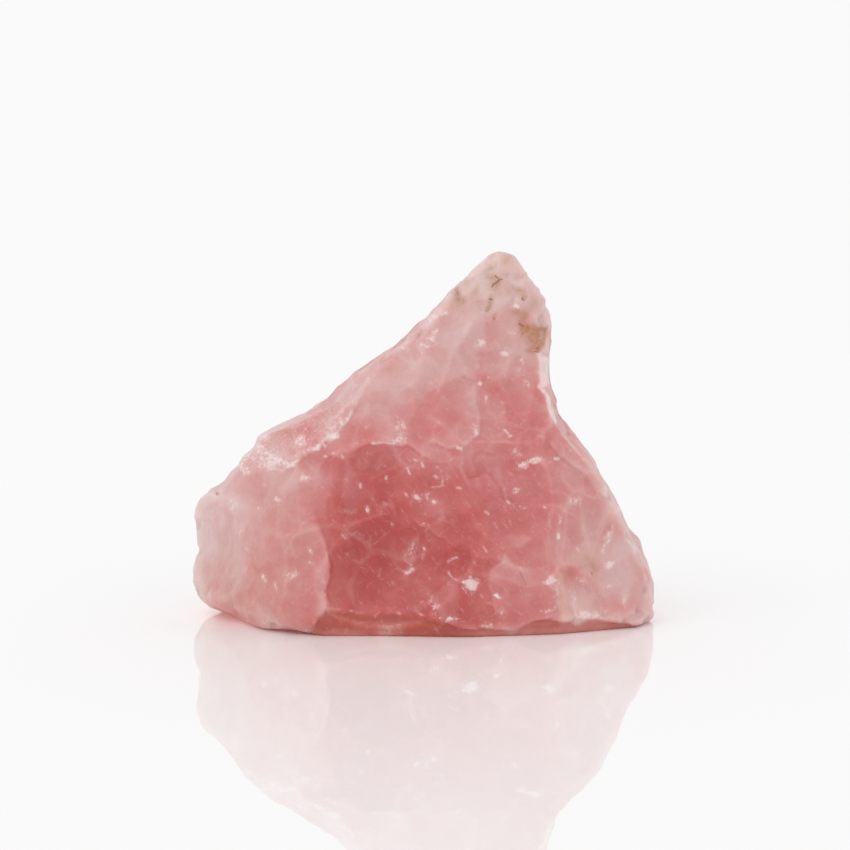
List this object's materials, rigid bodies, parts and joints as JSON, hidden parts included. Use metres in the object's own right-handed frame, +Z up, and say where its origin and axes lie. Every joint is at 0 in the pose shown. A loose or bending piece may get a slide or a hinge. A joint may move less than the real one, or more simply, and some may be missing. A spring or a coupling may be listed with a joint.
{
  "type": "rose quartz chunk",
  "caption": "Raw broken chunk of milky rose quartz with shell-shaped hollows, standing on a flat break.",
  "frame": {"origin": "on the ground, under the middle of the stone's box", "axes": "+X along the length of the stone, +Y to its back, +Z up"},
  "size_m": [0.0804, 0.045, 0.0631],
  "materials": {
    "rose_quartz": "satin"
  },
  "bodies": {
    "root": {"rose_quartz_chunk": "rose_quartz"}
  },
  "joints": []
}
